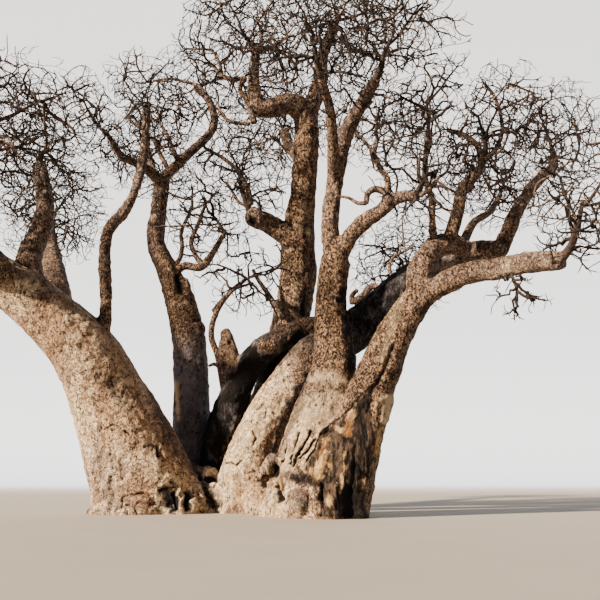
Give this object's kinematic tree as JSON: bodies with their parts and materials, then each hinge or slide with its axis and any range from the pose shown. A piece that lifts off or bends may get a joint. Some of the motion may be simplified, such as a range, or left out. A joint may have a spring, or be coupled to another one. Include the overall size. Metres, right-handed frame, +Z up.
{
  "type": "leafless baobab tree",
  "caption": "Whole baobab tree with leaning stems on one swollen root collar, crooked boughs and a bare crown of twigs, cut flat at ground level.",
  "frame": {"origin": "ground level in the middle of the swollen root collar, at the ground mount on the flat cut under the trunk", "axes": "+Z up along the stems' growth; +X towards the long level bough on the right as the picture shows the tree; the picture looks along +Y"},
  "size_m": [31.482, 20.8592, 25.0395],
  "materials": {
    "bark_pale": "smooth pale bark with fine folds",
    "bark_grey": "pitted grey bark",
    "bark_brown": "flaking mottled bark",
    "twig_bark": "fine dark twigs"
  },
  "bodies": {
    "root": {"trunk": "bark_pale", "stem_left": "bark_pale", "stem_crossing": "bark_pale", "stem_slender": "bark_grey", "stem_arching": "bark_grey", "stem_tall": "bark_brown", "stem_centre": "bark_brown", "stem_right": "bark_brown", "bough_left_outer": "bark_brown", "bough_left_upper": "bark_brown", "bough_left_rear": "bark_brown", "bough_left_front": "bark_brown", "bough_left_riser": "bark_brown", "bough_slender_right": "bark_brown", "bough_slender_left": "bark_brown", "bough_slender_rear": "bark_brown", "bough_slender_side": "bark_brown", "bough_arching_riser": "bark_brown", "bough_arching_stub": "bark_brown", "bough_arching_reach": "bark_brown", "bough_tall_side": "bark_brown", "bough_tall_top": "bark_brown", "bough_tall_right": "bark_brown", "bough_tall_rear": "bark_brown", "bough_crossing_reach": "bark_brown", "bough_crossing_rise": "bark_brown", "bough_centre_left": "bark_brown", "bough_centre_right": "bark_brown", "bough_centre_spur": "bark_brown", "bough_centre_front": "bark_brown", "bough_right_level": "bark_brown", "bough_right_bend": "bark_brown", "bough_right_riser": "bark_brown", "bough_right_thin": "bark_brown", "bough_right_fork": "bark_brown", "twigs_left_outer": "twig_bark", "twigs_left_upper": "twig_bark", "twigs_left_rear": "twig_bark", "twigs_left_front": "twig_bark", "twigs_left_riser": "twig_bark", "twigs_slender_left": "twig_bark", "twigs_slender_right": "twig_bark", "twigs_slender_rear": "twig_bark", "twigs_slender_side": "twig_bark", "twigs_arching_riser": "twig_bark", "twigs_arching_reach": "twig_bark", "twigs_tall_side": "twig_bark", "twigs_tall_top": "twig_bark", "twigs_tall_right": "twig_bark", "twigs_tall_rear": "twig_bark", "twigs_centre_left": "twig_bark", "twigs_centre_front": "twig_bark", "twigs_centre_spur": "twig_bark", "twigs_centre_right": "twig_bark", "twigs_right_riser": "twig_bark", "twigs_right_thin": "twig_bark", "twigs_right_fork": "twig_bark", "twigs_crossing_rise": "twig_bark", "twigs_right_level": "twig_bark", "twigs_right_low": "twig_bark"}
  },
  "joints": []
}
